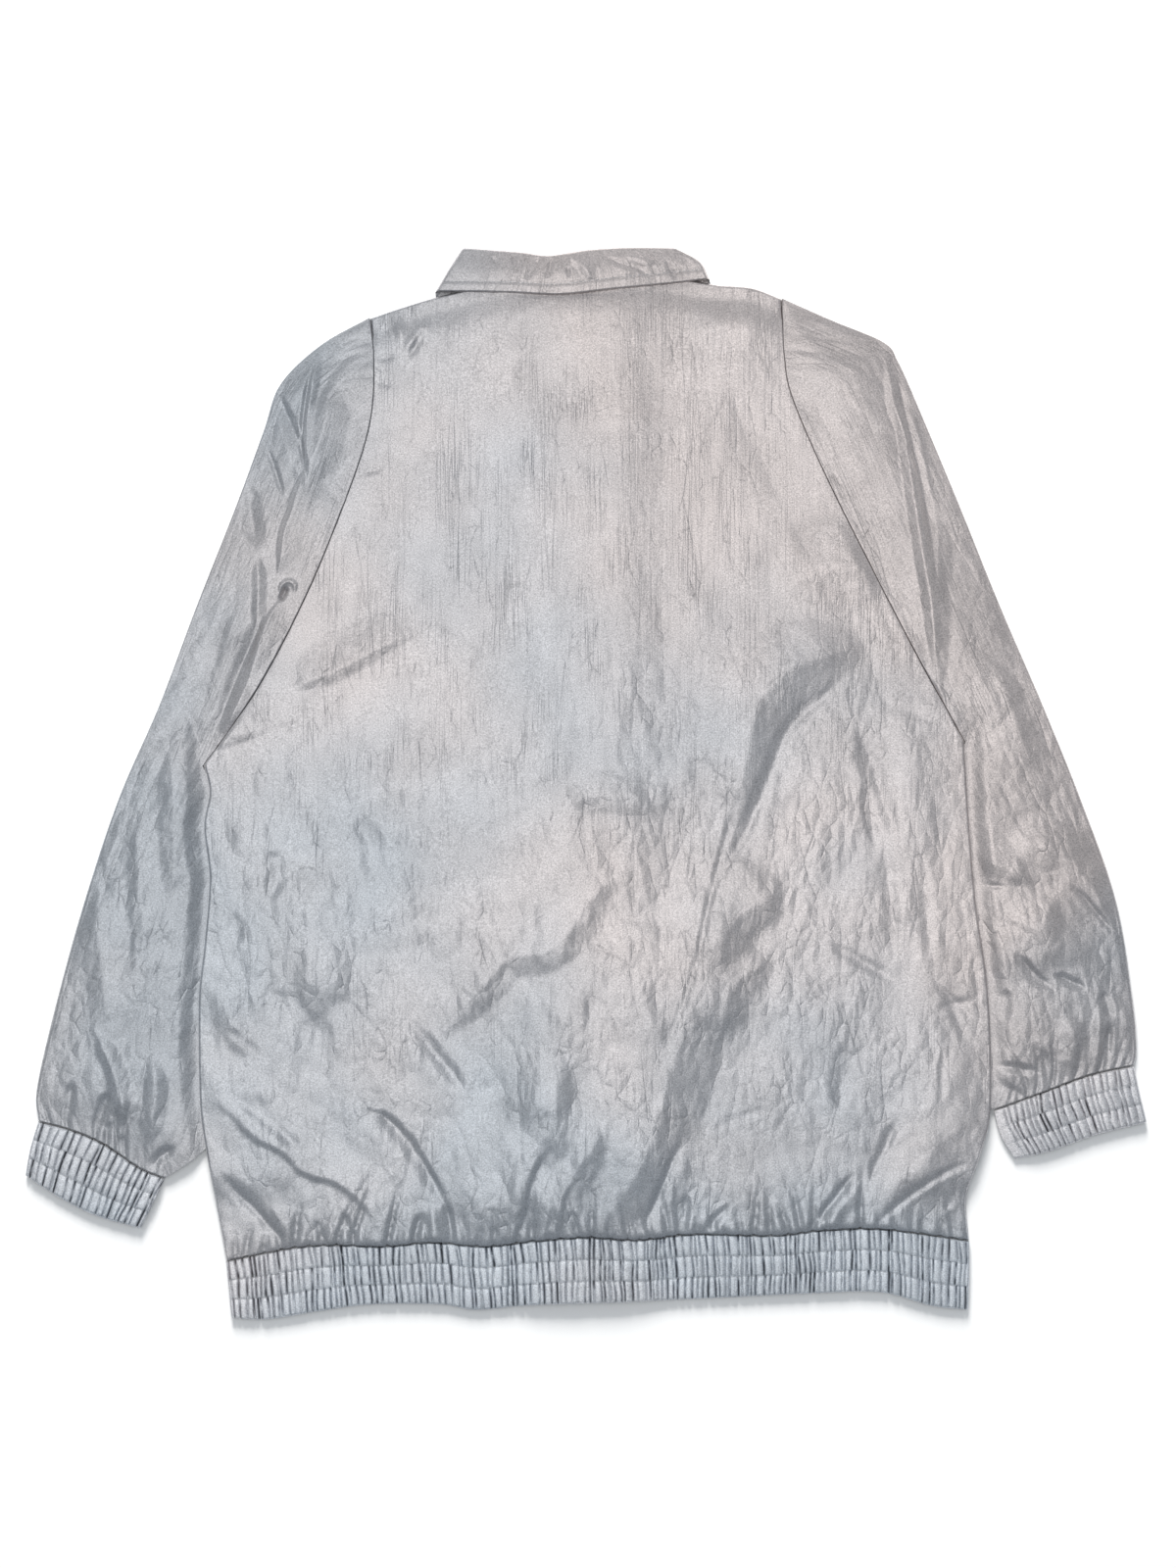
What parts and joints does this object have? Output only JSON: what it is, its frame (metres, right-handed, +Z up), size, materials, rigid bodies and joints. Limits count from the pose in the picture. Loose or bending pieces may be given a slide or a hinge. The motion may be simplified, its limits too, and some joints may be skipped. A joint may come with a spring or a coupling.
{
  "type": "snap-front jacket",
  "caption": "Lightweight crinkled nylon jacket laid flat with its back up: turned-down collar, full sleeves, gathered elastic cuffs and waistband, snap front underneath.",
  "frame": {"origin": "centre of the plan outline, on the floor the jacket lies on", "axes": "+Y from hem to collar, +X towards the wearer's right sleeve as seen from above the back, +Z up from the floor"},
  "size_m": [0.825, 0.7884, 0.0172],
  "materials": {
    "nylon": "silver-grey crinkled nylon with a soft sheen",
    "elastic": "the same nylon gathered over elastic",
    "snap_metal": "satin metal snap caps"
  },
  "bodies": {
    "root": {"back": "nylon", "front_left": "nylon", "front_right": "nylon", "sleeve_left": "nylon", "sleeve_right": "nylon", "collar_fall": "nylon", "collar_stand": "nylon", "cuff_left": "elastic", "cuff_right": "elastic", "waistband": "elastic", "snap_1": "snap_metal", "snap_2": "snap_metal", "snap_3": "snap_metal", "snap_4": "snap_metal", "snap_5": "snap_metal", "snap_6": "snap_metal", "snap_7": "snap_metal"}
  },
  "joints": []
}
